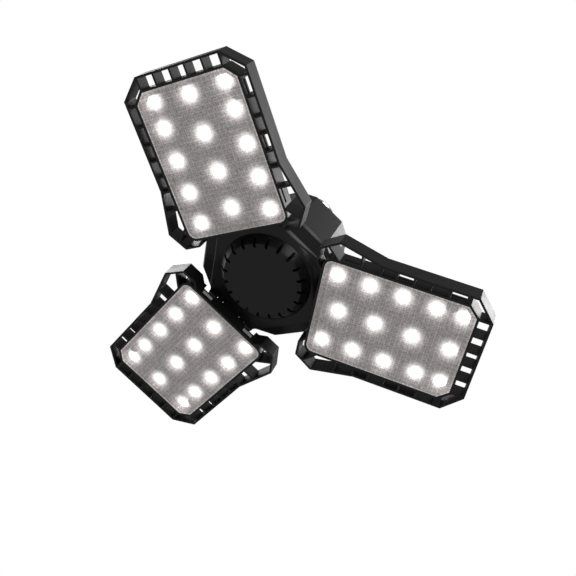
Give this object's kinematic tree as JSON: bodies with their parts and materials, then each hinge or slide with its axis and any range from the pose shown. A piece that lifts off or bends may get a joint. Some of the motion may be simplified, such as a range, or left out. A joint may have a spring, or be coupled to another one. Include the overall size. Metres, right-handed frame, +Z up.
{
  "type": "deformable garage light",
  "caption": "Folding garage ceiling light: winged light panels hinged on a faceted hub with a round vent cap, a neck and a screw lamp base.",
  "frame": {"origin": "on the axis at the shoulder of the screw shell, where the lamp socket's rim comes", "axes": "+Z up along the screw base's axis into the socket, the light shines towards -Z; +X along the middle of panel a; panels b and c follow at 120 and 240 degrees"},
  "size_m": [0.1879, 0.2118, 0.0923],
  "materials": {
    "black_shell": "fine satin texture",
    "black_frame": "fine satin texture",
    "lens": "clear, with a fine square pattern",
    "led_board": "white solder mask on an aluminium core",
    "led": "phosphor in a white body",
    "heat_sink": "black anodised",
    "hinge_plate": "zinc plated",
    "steel": "zinc plated",
    "base_shell": "nickel plated, rolled",
    "base_glass": "black glass",
    "base_contact": "tinned",
    "circuit_board": "green solder mask",
    "transformer": "yellow tape",
    "capacitor": "sleeved",
    "choke": "enamelled winding",
    "connector": "moulded",
    "lead": "insulated wire"
  },
  "bodies": {
    "hub": {"front_cover": "black_shell", "vent_cap": "black_shell", "hub_housing": "black_shell", "rear_cover": "black_shell", "neck": "black_shell", "screw_shell": "base_shell", "base_insulator": "base_glass", "centre_contact": "base_contact", "housing_screws": "steel", "driver_board": "circuit_board", "driver_transformer": "transformer", "driver_capacitors": "capacitor", "driver_choke": "choke", "driver_connectors": "connector", "base_leads": "lead", "board_screws": "steel"},
    "panel_a": {"panel_a_frame": "black_frame", "panel_a_lens": "lens", "panel_a_led_board": "led_board", "panel_a_leds": "led", "panel_a_heat_sink": "heat_sink", "panel_a_screws": "steel", "panel_a_hinge_plates": "hinge_plate", "panel_a_hinge_pin": "steel"},
    "panel_b": {"panel_b_frame": "black_frame", "panel_b_lens": "lens", "panel_b_led_board": "led_board", "panel_b_leds": "led", "panel_b_heat_sink": "heat_sink", "panel_b_screws": "steel", "panel_b_hinge_plates": "hinge_plate", "panel_b_hinge_pin": "steel"},
    "panel_c": {"panel_c_frame": "black_frame", "panel_c_lens": "lens", "panel_c_led_board": "led_board", "panel_c_leds": "led", "panel_c_heat_sink": "heat_sink", "panel_c_screws": "steel", "panel_c_hinge_plates": "hinge_plate", "panel_c_hinge_pin": "steel"}
  },
  "joints": [
    {"name": "panel_a_hinge", "type": "hinge", "parent": "hub", "child": "panel_a", "pos_m": [0.031, 0, -0.0574], "axis": [0, -1, 0], "range_deg": [0, 90]},
    {"name": "panel_b_hinge", "type": "hinge", "parent": "hub", "child": "panel_b", "pos_m": [-0.0155, 0.02685, -0.0574], "axis": [0.866, 0.5, 0], "range_deg": [0, 90]},
    {"name": "panel_c_hinge", "type": "hinge", "parent": "hub", "child": "panel_c", "pos_m": [-0.0155, -0.02685, -0.0574], "axis": [-0.866, 0.5, 0], "range_deg": [0, 90]}
  ]
}
